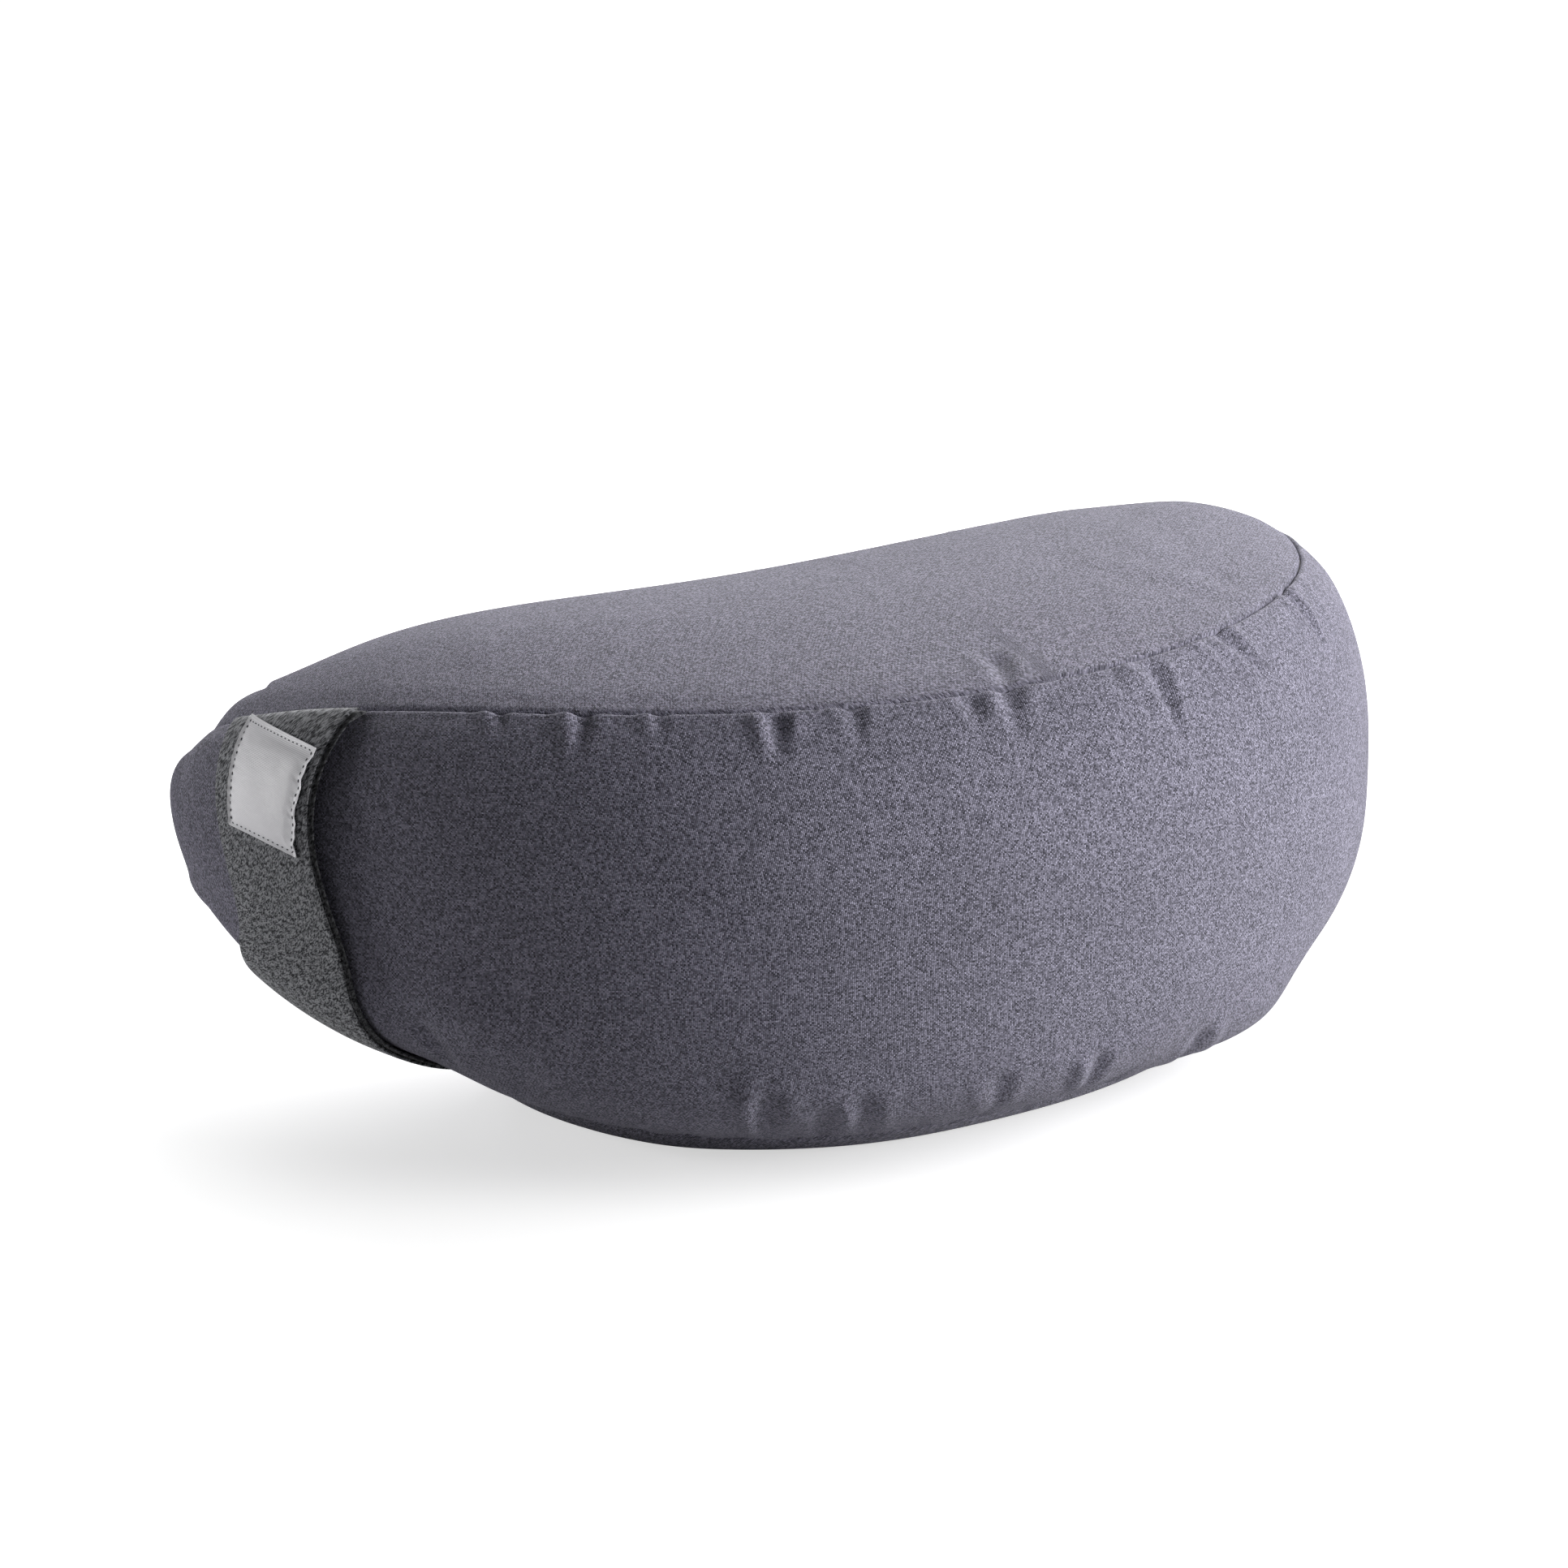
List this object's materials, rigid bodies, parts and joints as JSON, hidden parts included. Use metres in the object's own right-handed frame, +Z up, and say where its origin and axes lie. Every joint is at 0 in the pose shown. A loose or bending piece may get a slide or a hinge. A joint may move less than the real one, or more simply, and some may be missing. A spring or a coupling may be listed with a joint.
{
  "type": "meditation cushion",
  "caption": "Crescent-shaped meditation cushion in grey canvas with a carry strap on one horn, a blank sewn label, a zipped cover and a hull-filled cotton liner.",
  "frame": {"origin": "on the floor under the middle of the cushion's bounding box", "axes": "+X from horn to horn, away from the horn that carries the strap; -Y towards the rounded front and +Y towards the hollow side with the zip; +Z up"},
  "size_m": [0.46, 0.2642, 0.1746],
  "materials": {
    "grey_canvas": "matt plain weave",
    "heather_strap": "matt flecked weave",
    "pale_satin": "satin",
    "white_cotton": "matt plain weave",
    "buckwheat_hulls": "dry plant hulls",
    "grey_zip_tape": "matt knitted tape",
    "grey_nylon": "matt nylon",
    "zip_metal": "satin grey metal"
  },
  "bodies": {
    "cover": {"top_panel": "grey_canvas", "base_panel": "grey_canvas", "front_panel": "grey_canvas", "back_panel_upper": "grey_canvas", "back_panel_lower": "grey_canvas", "liner_top": "white_cotton", "liner_base": "white_cotton", "liner_front": "white_cotton", "liner_back": "white_cotton", "hull_fill": "buckwheat_hulls", "carry_strap_face": "heather_strap", "carry_strap_lining": "heather_strap", "label_patch": "pale_satin", "zip_tape_upper": "grey_zip_tape", "zip_tape_lower": "grey_zip_tape", "zip_coil_upper": "grey_nylon", "zip_coil_lower": "grey_nylon", "zip_top_stop_upper": "zip_metal", "zip_top_stop_lower": "zip_metal", "zip_bottom_stop": "zip_metal"},
    "zip_slider": {"zip_slider": "zip_metal"},
    "zip_pull": {"zip_pull": "zip_metal"}
  },
  "joints": [
    {"name": "zip_travel", "type": "hinge", "parent": "cover", "child": "zip_slider", "pos_m": [0, 0.37123, 0.0729], "axis": [0, 0, 1], "range_deg": [-36.74, 0]},
    {"name": "pull_turn", "type": "hinge", "parent": "zip_slider", "child": "zip_pull", "pos_m": [0.09226, 0.0934, 0.0729], "axis": [0, 0, 1], "range_deg": [-180, 0]}
  ]
}
